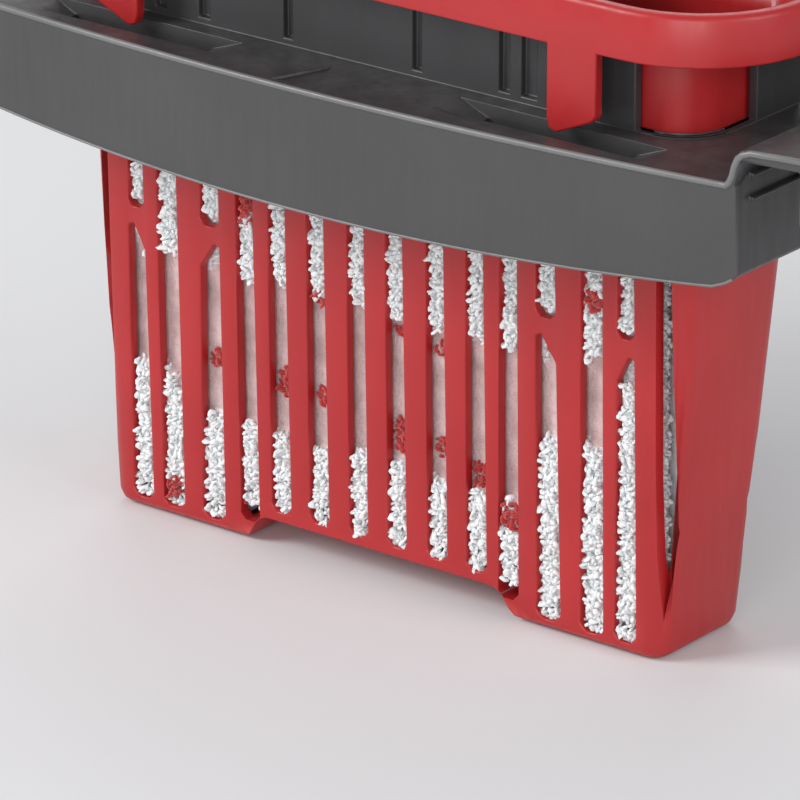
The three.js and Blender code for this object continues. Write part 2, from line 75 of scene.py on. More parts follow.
# ---------------------------------------------------------------- bench helpers
def place(x: float, y: float, z: float) -> Vector:
    """Turns a place on the bench into a place in the frame.

    Args:
        x: Millimetres to the right of the basket's middle.
        y: Millimetres behind the basket's middle.
        z: Millimetres above the basket's feet.

    Returns:
        The same place in metres from the frame's origin.
    """
    return (Vector((x, y, z)) - BENCH) * MM


def bench(spot: Vector) -> Vector:
    """Turns a place in the frame into millimetres from the basket's feet."""
    return spot / MM + BENCH


def lerp(a: float, b: float, t: float) -> float:
    """The value a share t of the way from a to b."""
    return a + (b - a) * t


def ease(low: float, high: float, value: float) -> float:
    """How far value is from low to high, from 0 to 1, with soft ends."""
    t = min(1.0, max(0.0, (value - low) / (high - low)))
    return t * t * (3 - 2 * t)


def sharp_edges(bm: bmesh.types.BMesh, degrees: float) -> list[bmesh.types.BMEdge]:
    """The closed edges of a mesh that turn by more than an angle."""
    limit = math.radians(degrees)
    return [e for e in bm.edges if len(e.link_faces) == 2 and e.calc_face_angle() > limit]


def round_edges(bm: bmesh.types.BMesh, edges: list[bmesh.types.BMEdge], radius: float,
                segments: int = 2) -> None:
    """Rounds some edges of a mesh.

    Args:
        bm: The mesh.
        edges: The edges to round.
        radius: Width of the rounding, in metres.
        segments: Faces across it.
    """
    bmesh.ops.bevel(bm, geom=edges, offset=radius, offset_type="OFFSET", segments=segments, profile=0.5,
                    affect="EDGES", clamp_overlap=False, material=-1)


def finished(bm: bmesh.types.BMesh, name: str, smooth_below: float = 38.0) -> bpy.types.Object:
    """Makes an object of a mesh and frees it.

    Args:
        bm: The mesh, in the frame's metres.
        name: The piece's name.
        smooth_below: Edges that turn by less than these degrees are shaded smooth.

    Returns:
        The new object, in the scene.
    """
    mesh = bpy.data.meshes.new(name)
    bm.to_mesh(mesh)
    bm.free()
    mesh.shade_smooth()
    mesh.set_sharp_from_angle(angle=math.radians(smooth_below))
    piece = bpy.data.objects.new(name, mesh)
    bpy.context.scene.collection.objects.link(piece)
    return piece


def flatten_shading(piece: bpy.types.Object) -> None:
    """Weighs a piece's normals by face area, so that its rounded edges don't bend the shade of its flats."""
    weigh = piece.modifiers.new("weighted_normals", "WEIGHTED_NORMAL")
    weigh.keep_sharp = True
    shape = bpy.data.meshes.new_from_object(piece.evaluated_get(bpy.context.evaluated_depsgraph_get()))
    piece.modifiers.clear()
    old, piece.data = piece.data, shape
    bpy.data.meshes.remove(old)
    shape.name = piece.name


def merged_copy(node: str, flat: float = 1.2) -> bmesh.types.BMesh:
    """Copies a CAD node's mesh, with its corners welded and its flats made whole.

    Args:
        node: The CAD node.
        flat: Faces that turn by less than these degrees are made one.

    Returns:
        The copy, in the frame's metres.
    """
    bm = bmesh.new()
    bm.from_mesh(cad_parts[node].data)
    bmesh.ops.remove_doubles(bm, verts=bm.verts, dist=WELD)
    bmesh.ops.dissolve_limit(bm, angle_limit=math.radians(flat), verts=bm.verts, edges=bm.edges)
    return bm


def softened(node: str, name: str, radius: float, segments: int = 2, degrees: float = 32.0,
             flat: float = 1.2, keep: Callable[[Vector], bool] | None = None) -> bpy.types.Object:
    """Copies a CAD node as a piece whose edges are rounded as a moulding's are.

    Args:
        node: The CAD node.
        name: The new piece's name.
        radius: Radius of the edges, in metres.
        segments: Faces across each rounded edge.
        degrees: Edges that turn by more than this are rounded.
        flat: Faces that turn by less than this are made one.
        keep: Says of an edge's middle, in bench millimetres, that the edge stays sharp.

    Returns:
        The new piece, which stands for the node.
    """
    bm = merged_copy(node, flat)
    edges = sharp_edges(bm, degrees)
    if keep:
        edges = [e for e in edges if not keep(bench((e.verts[0].co + e.verts[1].co) / 2))]
    round_edges(bm, edges, radius, segments)
    piece = finished(bm, name)
    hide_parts(node)
    return piece


def tube(name: str, path: list[Vector], radius: float, sides: int = 3) -> bpy.types.Object:
    """Makes a closed round bead along a path.

    Args:
        name: The piece's name.
        path: Points in the frame's metres.
        radius: The bead's radius, in metres.
        sides: Steps in each quarter of its round.

    Returns:
        The bead as a mesh.
    """
    curve = bpy.data.curves.new(name + "_line", "CURVE")
    curve.dimensions, curve.use_fill_caps = "3D", True
    curve.bevel_depth, curve.bevel_resolution = radius, sides
    line = curve.splines.new("POLY")
    line.points.add(len(path) - 1)
    for point, spot in zip(line.points, path):
        point.co = (*spot, 1.0)
    carrier = bpy.data.objects.new(name + "_line", curve)
    bm = bmesh.new()
    bm.from_mesh(bpy.data.meshes.new_from_object(carrier))
    bpy.data.objects.remove(carrier)
    bmesh.ops.remove_doubles(bm, verts=bm.verts, dist=WELD)
    bmesh.ops.recalc_face_normals(bm, faces=bm.faces)
    return finished(bm, name, 60)


def dress(piece: bpy.types.Object, *finishes: bpy.types.Material) -> None:
    """Gives a new piece its finishes."""
    for finish in finishes:
        piece.data.materials.append(finish)


# ---------------------------------------------------------------- finishes
class Nodes:
    """A node tree with short calls for adding nodes, linking them and naming sockets."""

    def __init__(self, tree: bpy.types.NodeTree) -> None:
        """Keeps the tree that nodes are added to."""
        self.tree = tree

    def add(self, kind: str, **settings: object) -> bpy.types.Node:
        """Adds a node.

        Args:
            kind: The node's type name, without its ShaderNode start.
            **settings: Its properties, and its inputs by name with spaces as underscores.

        Returns:
            The node.
        """
        node = self.tree.nodes.new(kind if kind.startswith("NodeGroup") else "ShaderNode" + kind)
        for key, value in settings.items():
            if hasattr(node, key):
                setattr(node, key, value)
            else:
                node.inputs[key.replace("_", " ")].default_value = value
        return node

    def link(self, source: bpy.types.NodeSocket, target: bpy.types.NodeSocket) -> None:
        """Links one socket to another."""
        self.tree.links.new(source, target)

    def noise(self, vector: bpy.types.NodeSocket, scale: float, detail: float = 2.0,
              roughness: float = 0.5) -> bpy.types.Node:
        """Adds a noise texture read at a vector."""
        node = self.add("TexNoise", Scale=scale, Detail=detail, Roughness=roughness)
        self.link(vector, node.inputs["Vector"])
        return node

    def spread(self, value: bpy.types.NodeSocket, low: float, high: float, to_low: float = 0.0,
               to_high: float = 1.0) -> bpy.types.NodeSocket:
        """Maps a value from one range to another, held at its ends."""
        node = self.add("MapRange")
        node.clamp = True
        for name, number in (("From Min", low), ("From Max", high), ("To Min", to_low), ("To Max", to_high)):
            node.inputs[name].default_value = number
        self.link(value, node.inputs["Value"])
        return node.outputs["Result"]

    def maths(self, operation: str, a: object, b: object) -> bpy.types.NodeSocket:
        """Adds a sum of two sockets or numbers, and gives its result."""
        node = self.add("Math", operation=operation)
        for socket, value in zip(node.inputs, (a, b)):
            if isinstance(value, bpy.types.NodeSocket):
                self.link(value, socket)
            else:
                socket.default_value = value
        return node.outputs[0]

    def mix(self, share: bpy.types.NodeSocket, a: object, b: object) -> bpy.types.NodeSocket:
        """Mixes two colours or colour sockets by a share, and gives the result."""
        node = self.add("Mix", data_type="RGBA")
        self.link(share, node.inputs["Factor"])
        for socket, value in ((node.inputs[6], a), (node.inputs[7], b)):
            if isinstance(value, bpy.types.NodeSocket):
                self.link(value, socket)
            else:
                socket.default_value = (*value, 1.0)
        return node.outputs[2]

    def bump(self, height: bpy.types.NodeSocket, distance: float) -> bpy.types.NodeSocket:
        """Adds a bump of a height, and gives its normal."""
        node = self.add("Bump", Distance=distance, Strength=1.0)
        self.link(height, node.inputs["Height"])
        return node.outputs["Normal"]

    def group(self, tree: bpy.types.NodeTree, **values: float) -> bpy.types.Node:
        """Places a group with its own values."""
        node = self.add("Group")
        node.node_tree = tree
        for key, value in values.items():
            node.inputs[key.replace("_", " ")].default_value = value
        return node


def new_group(name: str, inputs: dict[str, float],
              outputs: Iterable[str]) -> tuple[Nodes, bpy.types.Node, bpy.types.Node]:
    """Starts a shader node group with named value sockets.

    Args:
        name: The group's name.
        inputs: Each input's name and usual value.
        outputs: The outputs' names.

    Returns:
        The group's nodes, its input node and its output node.
    """
    tree = bpy.data.node_groups.new(name, "ShaderNodeTree")
    for key, value in inputs.items():
        socket = tree.interface.new_socket(name=key, in_out="INPUT", socket_type="NodeSocketFloat")
        socket.default_value = value
    for key in outputs:
        tree.interface.new_socket(name=key, in_out="OUTPUT", socket_type="NodeSocketFloat")
    nodes = Nodes(tree)
    return nodes, nodes.add("NodeGroupInput"), nodes.add("NodeGroupOutput")


def moulded_grain() -> bpy.types.NodeTree:
    """Group for moulded plastic: fine spark-eroded grain, and wide clouds of shade and gloss."""
    nodes, given, out = new_group("moulded_grain", {"Grain Scale": 2600.0, "Cloud Scale": 26.0},
                                  ("Height", "Clouds", "Streaks"))
    here = nodes.add("TexCoord").outputs["Object"]
    grain = nodes.noise(here, 1.0, 2.0, 0.6)
    nodes.link(given.outputs["Grain Scale"], grain.inputs["Scale"])
    clouds = nodes.noise(here, 1.0, 3.0, 0.55)
    nodes.link(given.outputs["Cloud Scale"], clouds.inputs["Scale"])
    drawn = nodes.add("Mapping")
    drawn.inputs["Scale"].default_value = (1.0, 1.0, 0.12)
    nodes.link(here, drawn.inputs["Vector"])
    streaks = nodes.noise(drawn.outputs["Vector"], 420.0, 2.0)
    nodes.link(grain.outputs["Fac"], out.inputs["Height"])
    nodes.link(nodes.spread(clouds.outputs["Fac"], 0.32, 0.68), out.inputs["Clouds"])
    nodes.link(nodes.spread(streaks.outputs["Fac"], 0.35, 0.7), out.inputs["Streaks"])
    return nodes.tree


def scuff_and_highlight_edges() -> bpy.types.NodeTree:
    """Group for edge wear and a painted highlight: a mask of the proud edges, broken up by specks."""
    nodes, given, out = new_group("scuff_and_highlight_edges", {"Start": 0.58, "Full": 0.68}, ("Mask",))
    proud = nodes.add("NewGeometry").outputs["Pointiness"]
    span = nodes.add("MapRange")
    nodes.link(proud, span.inputs["Value"])
    nodes.link(given.outputs["Start"], span.inputs["From Min"])
    nodes.link(given.outputs["Full"], span.inputs["From Max"])
    specks = nodes.noise(nodes.add("TexCoord").outputs["Object"], 620.0, 3.0, 0.6)
    broken = nodes.spread(specks.outputs["Fac"], 0.38, 0.6, 0.25, 1.0)
    nodes.link(nodes.maths("MULTIPLY", span.outputs["Result"], broken), out.inputs["Mask"])
    return nodes.tree


def settled_dust() -> bpy.types.NodeTree:
    """Group for dust: a mask of the faces that look up, in uneven patches."""
    nodes, given, out = new_group("settled_dust", {"Amount": 0.5}, ("Mask",))
    split = nodes.add("SeparateXYZ")
    nodes.link(nodes.add("NewGeometry").outputs["Normal"], split.inputs[0])
    up = nodes.spread(split.outputs["Z"], 0.55, 1.0)
    patches = nodes.noise(nodes.add("TexCoord").outputs["Object"], 95.0, 4.0, 0.65)
    uneven = nodes.spread(patches.outputs["Fac"], 0.4, 0.7)
    mask = nodes.maths("MULTIPLY", nodes.maths("MULTIPLY", up, uneven), given.outputs["Amount"])
    nodes.link(mask, out.inputs["Mask"])
    return nodes.tree


def yarn_nap() -> bpy.types.NodeTree:
    """Group for microfibre: fine fibres as height, and uneven shade between the yarns."""
    nodes, given, out = new_group("yarn_nap", {"Fibre Scale": 2400.0, "Shade Scale": 160.0},
                                  ("Height", "Shade"))
    here = nodes.add("TexCoord").outputs["Object"]
    fibres = nodes.noise(here, 1.0, 3.0, 0.7)
    nodes.link(given.outputs["Fibre Scale"], fibres.inputs["Scale"])
    shade = nodes.noise(here, 1.0, 2.0, 0.5)
    nodes.link(given.outputs["Shade Scale"], shade.inputs["Scale"])
    nodes.link(fibres.outputs["Fac"], out.inputs["Height"])
    nodes.link(nodes.spread(shade.outputs["Fac"], 0.3, 0.7), out.inputs["Shade"])
    return nodes.tree


class Effects:
    """The node groups that the finishes share, each built once."""

    def __init__(self) -> None:
        """Builds the groups."""
        self.grain = moulded_grain()
        self.edges = scuff_and_highlight_edges()
        self.dust = settled_dust()
        self.nap = yarn_nap()


def start_finish(name: str) -> tuple[Nodes, bpy.types.Node, bpy.types.Material]:
    """Starts a material.

    Args:
        name: The material's name.

    Returns:
        Its nodes, its Principled shader, and the material.
    """
    material = bpy.data.materials.new(name)
    material.use_nodes = True
    nodes = Nodes(material.node_tree)
    return nodes, material.node_tree.nodes["Principled BSDF"], material


@dataclass(frozen=True)
class Plastic:
    """A moulded plastic.

    Attributes:
        name: The finish's name.
        colour: Its colour.
        cloud: Its colour in the darker clouds.
        scuff_and_highlight_colour: Its lighter colour on proud edges, partly wear and partly a painted
            highlight.
        roughness: Its lowest and highest roughness.
        grain_scale: How fine the grain is.
        grain_depth: How deep the grain is, in metres.
        scuff_and_highlight_share: Share of that lighter colour on proud edges.
        dust: How much dust lies on the faces that look up.
        glow: Share of light that goes into the plastic and out again.
    """

    name: str
    colour: Colour
    cloud: Colour
    scuff_and_highlight_colour: Colour
    roughness: tuple[float, float] = (0.4, 0.5)
    grain_scale: float = 2600.0
    grain_depth: float = 0.00002
    scuff_and_highlight_share: float = 0.4
    dust: float = 0.2
    glow: float = 0.0

    def material(self, effects: Effects) -> bpy.types.Material:
        """Builds the material from the shared effects."""
        nodes, shader, material = start_finish(self.name)
        grain = nodes.group(effects.grain, Grain_Scale=self.grain_scale)
        edges = nodes.group(effects.edges)
        dust = nodes.group(effects.dust, Amount=self.dust)
        body = nodes.mix(grain.outputs["Clouds"], self.cloud, self.colour)
        # Proud edges take the lighter colour: partly wear, partly a painted highlight.
        scuffed_and_highlit = nodes.mix(nodes.maths("MULTIPLY", edges.outputs["Mask"], self.scuff_and_highlight_share), body, self.scuff_and_highlight_colour)
        dusty = nodes.mix(dust.outputs["Mask"], scuffed_and_highlit, (0.42, 0.41, 0.4))
        nodes.link(dusty, shader.inputs["Base Color"])
        low, high = self.roughness
        rough = nodes.spread(grain.outputs["Streaks"], 0.0, 1.0, low, high)
        nodes.link(nodes.maths("ADD", rough, nodes.maths("MULTIPLY", dust.outputs["Mask"], 0.2)),
                   shader.inputs["Roughness"])
        nodes.link(nodes.bump(grain.outputs["Height"], self.grain_depth), shader.inputs["Normal"])
        if self.glow:
            shader.inputs["Subsurface Weight"].default_value = self.glow
            shader.inputs["Subsurface Radius"].default_value = (1.0, 0.12, 0.1)
            shader.inputs["Subsurface Scale"].default_value = 0.0016
        return material


@dataclass(frozen=True)
class Yarn:
    """A microfibre yarn or cloth.

    Attributes:
        name: The finish's name.
        colour: Its colour where it catches light.
        hollow: Its colour between the yarns.
        fibre_scale: How fine its fibres are.
        depth: How deep the fibres are, in metres.
        glow: Share of light that goes into the pile and out again.
        fuzz: Strength of the sheen of its fine ends.
    """

    name: str
    colour: Colour
    hollow: Colour
    fibre_scale: float = 2400.0
    depth: float = 0.0003
    glow: float = 0.7
    fuzz: float = 0.5

    def material(self, effects: Effects) -> bpy.types.Material:
        """Builds the material from the shared effects."""
        nodes, shader, material = start_finish(self.name)
        nap = nodes.group(effects.nap, Fibre_Scale=self.fibre_scale)
        nodes.link(nodes.mix(nap.outputs["Shade"], self.hollow, self.colour), shader.inputs["Base Color"])
        nodes.link(nodes.bump(nap.outputs["Height"], self.depth), shader.inputs["Normal"])
        nodes.link(nodes.spread(nap.outputs["Height"], 0.3, 0.7, 0.85, 1.0), shader.inputs["Roughness"])
        shader.inputs["Sheen Weight"].default_value = self.fuzz
        shader.inputs["Sheen Roughness"].default_value = 0.5
        shader.inputs["Specular IOR Level"].default_value = 0.15
        if self.glow:
            shader.inputs["Subsurface Weight"].default_value = self.glow
            shader.inputs["Subsurface Radius"].default_value = (1.0, 0.9, 0.85)
            shader.inputs["Subsurface Scale"].default_value = 0.002
        return material


@dataclass(frozen=True)
class DrawnSteel:
    """A drawn steel rod.

    Attributes:
        name: The finish's name.
        colour: The metal's colour.
        roughness: Its lowest and highest roughness.
    """

    name: str
    colour: Colour = (0.62, 0.63, 0.65)
    roughness: tuple[float, float] = (0.22, 0.42)

    def material(self, effects: Effects) -> bpy.types.Material:
        """Builds the material from the shared effects."""
        nodes, shader, material = start_finish(self.name)
        grain = nodes.group(effects.grain, Grain_Scale=3200.0)
        nodes.link(nodes.mix(grain.outputs["Clouds"], tuple(0.8 * c for c in self.colour), self.colour),
                   shader.inputs["Base Color"])
        rough = nodes.spread(grain.outputs["Streaks"], 0.0, 1.0, *self.roughness)
        nodes.link(rough, shader.inputs["Roughness"])
        nodes.link(nodes.bump(grain.outputs["Height"], 0.00001), shader.inputs["Normal"])
        shader.inputs["Metallic"].default_value = 1.0
        return material


class Finishes:
    """Every finish of the wringer and the mop, built once."""

    def __init__(self) -> None:
        """Builds the materials."""
        effects = Effects()
        self.grey = Plastic("skirt_grey_polypropylene", (0.06, 0.0596, 0.0608), (0.052, 0.0516, 0.0528),
                            (0.2, 0.2, 0.2), (0.5, 0.62), 2300.0, 0.00003, 0.35, 0.06).material(effects)
        # The tray is the skirt's grey plastic; this darker copy on every face off the skirt is painted shade.
        self.painted_shade_tray_grey = Plastic("painted_shade_tray_grey_polypropylene", (0.043, 0.0415, 0.0438), (0.034, 0.033, 0.0348),
                                 (0.16, 0.16, 0.16), (0.38, 0.5), 2600.0, 0.00002, 0.4,
                                 0.08).material(effects)
        # A lighter copy of the frame's grey for the skirt's bead and its lower edge line: a painted
        # highlight.
        self.painted_highlight_grey = Plastic("painted_highlight_grey_polypropylene", (0.17, 0.17, 0.17), (0.13, 0.13, 0.13),
                                 (0.3, 0.3, 0.3), (0.3, 0.42), 2600.0, 0.00001, 0.3, 0.0).material(effects)
        self.red = Plastic("basket_red_polypropylene", (0.43, 0.018, 0.02), (0.365, 0.012, 0.0145),
                           (0.75, 0.13, 0.12), (0.32, 0.44), 2600.0, 0.00001, 0.3, 0.0,
                           glow=0.12).material(effects)
        self.pedal_red = Plastic("pedal_red_plastic", (0.42, 0.015, 0.018), (0.35, 0.011, 0.014),
                                 (0.58, 0.13, 0.12), (0.35, 0.5), 2000.0, 0.00003, 0.5, 0.1).material(effects)
        self.black = Plastic("mop_black_plastic", (0.022, 0.022, 0.024), (0.016, 0.016, 0.018),
                             (0.11, 0.11, 0.11), (0.36, 0.52), 2100.0, 0.00003, 0.45, 0.12).material(effects)
        self.steel = DrawnSteel("drawn_steel_pin").material(effects)
        self.white_yarn = Yarn("white_microfibre_yarn", (0.95, 0.955, 0.955), (0.88, 0.89, 0.895),
                               depth=0.00012).material(effects)
        self.red_yarn = Yarn("red_microfibre_yarn", (0.62, 0.045, 0.04), (0.42, 0.02, 0.02),
                             glow=0.1).material(effects)
        # The smooth band's pale cloth, coloured pinkish grey: painted shade with a painted reflection of the
        # red basket.
        self.painted_pink_shade_backing = Yarn("pad_backing_painted_pink_shade", (0.84, 0.66, 0.65), (0.58, 0.42, 0.41), 900.0, 0.0007,
                            0.1, 0.2).material(effects)


# ---------------------------------------------------------------- frame and basket
@dataclass
class RimTray:
    """The grey frame that hooks over the bucket's rim. Sizes are in millimetres.

    Attributes:
        edge: Radius of its moulded edges.
        corner: Radius of the skirt's upright corners.
        half_width: Half the width between its side walls' faces.
        bow_front: Y of the skirt's face at the middle.
        bow_rate: How fast the face falls back to the sides.
        tray_top: Height of the tray's floor.
        flange_top: Height of the flange.
        flange_end: Half the width over the flange.
        skirt_low: Height of the skirt's lower edge at the middle.
        skirt_arc: How fast that edge rises to the sides.
        bead: Radius of the bead on the skirt's upper edge.
        lower_highlight: Radius of the thin light tube along its lower edge, a painted highlight.
        near: How near to the skirt's face a place counts as on it.
        step_reach: How far in from the side wall's face the step up to the flange starts.
        step_drop: How far below the tray's floor the step's own edges go.
    """

    edge: float = 0.4
    corner: float = 1.3
    half_width: float = 110.0
    bow_front: float = -42.5
    bow_rate: float = 0.0006
    tray_top: float = 122.0
    flange_top: float = 130.0
    flange_end: float = 126.0
    skirt_low: float = 94.5
    skirt_arc: float = 0.00043
    bead: float = 0.75
    lower_highlight: float = 0.32
    near: float = 0.35
    step_reach: float = 5.5
    step_drop: float = 7.0

    def bow(self, x: float) -> float:
        """The Y of the skirt's face at an x."""
        return self.bow_front + self.bow_rate * x * x

    def on_skirt(self, spot: Vector) -> bool:
        """Whether a place in bench millimetres is on the skirt's face."""
        return abs(spot.y - self.bow(spot.x)) < self.near and abs(spot.x) < self.flange_end

    def body(self) -> bpy.types.Object:
        """The frame's moulding, its upright corners rounder than its other edges."""
        bm = merged_copy("wringer_frame")
        upright = []
        for edge in sharp_edges(bm, 60):
            low, high = sorted((bench(v.co) for v in edge.verts), key=lambda spot: spot.z)
            at_side = abs(abs(low.x) - self.half_width) < 0.1
            stands = (high - low).z > 8 and (high - low).xy.length < 0.5
            if at_side and stands and self.on_skirt(low):
                upright.append(edge)
        round_edges(bm, upright, self.corner * MM, 4)
        round_edges(bm, [e for e in sharp_edges(bm, 32) if not self.under_bead(e)], self.edge * MM)
        # The skirt's face takes the skirt grey; every other face takes the darker tray grey, a painted shade.
        for face in bm.faces:
            face.material_index = 0 if self.on_skirt(bench(face.calc_center_median())) else 1
        tray = finished(bm, "rim_tray")
        flatten_shading(tray)
        return tray

    def under_bead(self, edge: bmesh.types.BMEdge) -> bool:
        """Whether an edge lies under the bead where it steps up to the flange, and so stays crisp."""
        middle = bench((edge.verts[0].co + edge.verts[1].co) / 2)
        at_step = abs(middle.x) > self.half_width - self.step_reach
        return self.on_skirt(middle) and at_step and middle.z > self.tray_top - self.step_drop

    def upper_line(self) -> list[Vector]:
        """The skirt's upper edge, from flange to flange over both steps."""
        sink = 0.3
        step = [(106.6, self.tray_top), (107.4, 122.8), (108.0, 124.2), (108.5, 126.4), (109.2, 128.2),
                (110.4, 129.3), (112.2, 129.9), (118.0, self.flange_top), (124.4, self.flange_top),
                (125.5, 129.4), (self.flange_end, 128.2), (self.flange_end, 117.0)]
        half = [(x, self.tray_top) for x in range(0, 106, 5)] + step
        line = [(-x, z) for x, z in reversed(half[1:])] + half
        return [place(x, self.bow(x) + sink, z - sink) for x, z in line]

    def lower_line(self) -> list[Vector]:
        """The skirt's lower edge, from side to side."""
        sink = 0.12
        half = [(x, self.skirt_low + self.skirt_arc * x * x) for x in range(0, 101, 5)]
        half += [(104.0, 99.2), (107.0, 100.4), (108.6, 101.5)]
        line = [(-x, z) for x, z in reversed(half[1:])] + half
        return [place(x, self.bow(x) + sink, z + sink) for x, z in line]

    def build(self, finishes: Finishes) -> None:
        """Builds the tray, its bead and the painted highlight line on its lower edge, and dresses them."""
        tray = self.body()
        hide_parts("wringer_frame")
        dress(tray, finishes.grey, finishes.painted_shade_tray_grey)
        # The bead is the frame's own grey plastic, coloured lighter as a painted highlight.
        bead = tube("skirt_bead", self.upper_line(), self.bead * MM)
        dress(bead, finishes.painted_highlight_grey)
        # A thin light tube along the skirt's lower edge: a painted highlight where the edge catches light.
        lower_highlight = tube("skirt_lower_highlight", self.lower_line(), self.lower_highlight * MM)
        dress(lower_highlight, finishes.painted_highlight_grey)
        for piece in (tray, bead, lower_highlight):
            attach(piece, "wringer")
            LOG.info("%s: %d faces", piece.name, len(piece.data.polygons))


@dataclass
class PressBasket:
    """The red slotted basket with its funnel rim.

    Attributes:
        edge: Radius of its moulded edges, in millimetres.
        rim_half_width: Half the funnel rim's width.
        rim_half_depth: Half its depth.
        rim_middle: Y of its middle.
        rim_corner: Radius of its corners.
    """

    edge: float = 0.5
    rim_half_width: float = 103.0
    rim_half_depth: float = 35.25
    rim_middle: float = 5.75
    rim_corner: float = 28.0

    def inside_rim(self, spot: Vector) -> float:
        """How far a place in bench millimetres is inside the funnel rim's outline, seen from above."""
        across = abs(spot.x) - (self.rim_half_width - self.rim_corner)
        along = abs(spot.y - self.rim_middle) - (self.rim_half_depth - self.rim_corner)
        return self.rim_corner - math.hypot(max(across, 0.0), max(along, 0.0)) - min(max(across, along), 0.0)

    def stays_crisp(self, spot: Vector) -> bool:
        """Whether a place is on a corner slot's lip, by the feet's step or under the rim."""
        at_corner_slot = abs(spot.x) > 75.2 and 5 < spot.z < 111.5
        by_step = 30 < abs(spot.x) < 42 and spot.z < 9.5
        under_rim = 112 < spot.z < 143 and self.inside_rim(spot) > 1.2
        return at_corner_slot or by_step or under_rim

    def build(self, finishes: Finishes) -> None:
        """Builds the basket and dresses it."""
        basket = softened("press_basket", "slotted_basket", self.edge * MM, 3, flat=0.15,
                          keep=self.stays_crisp)
        dress(basket, finishes.red)
        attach(basket, "wringer")
        LOG.info("slotted_basket: %d faces", len(basket.data.polygons))


# ---------------------------------------------------------------- mop pads
SLOT_SPAN = 100  # height over the feet at which a slot's upper pair of x is given
# The basket's slots right of its middle, each as (inner x and outer x at that height, inner x and
# outer x at the feet, whether a web crosses it).
SLOTS = ((3.1, 7.6, 2.8, 8.1, False), (14.4, 18.9, 13.8, 19.5, False), (25.3, 29.8, 24.7, 30.4, False),
         (34.6, 39.0, 33.6, 39.4, False), (44.2, 49.0, 44.0, 50.6, True), (56.4, 61.9, 55.9, 62.1, False),
         (66.2, 70.1, 65.1, 71.0, True))
WEB = (62.5, 75.5)  # heights between which the pile stays pressed at the webs
# Red tufts on the front pad, each as (x, z, radius).
RED_TUFTS = ((-38, 80, 3.6), (-17, 63, 1.8), (5, 59.5, 1.6), (16.6, 58, 1.6), (47, 65, 2.0),
             (-48, 41, 2.2), (-28, 40, 3.4), (-17, 39, 2.2), (5, 35, 4.2), (16.6, 35, 2.8), (27, 31, 3.6),
             (37, 24.5, 3.0), (-60, 7, 3.0), (-38, 6, 3.2), (59, 80, 2.6))


def slot_share(x: float, z: float, edge: float = 0.9) -> float:
    """How open the basket's wall is at a place: 1 in a slot, 0 behind a bar, soft between.

    Args:
        x: Millimetres right of the middle.
        z: Millimetres above the feet.
        edge: Width of the soft change at a slot's side, in millimetres.
    """
    t, near = z / SLOT_SPAN, 0.0
    for top_in, top_out, low_in, low_out, webbed in SLOTS:
        if webbed and WEB[0] < z < WEB[1]:
            continue
        inner, outer = lerp(low_in, top_in, t), lerp(low_out, top_out, t)
        into = min(abs(x) - inner, outer - abs(x))
        near = max(near, ease(-edge * 0.3, edge, into))
    return near * ease(1.0, 4.5, z) * (1 - ease(106.0, 110.0, z))


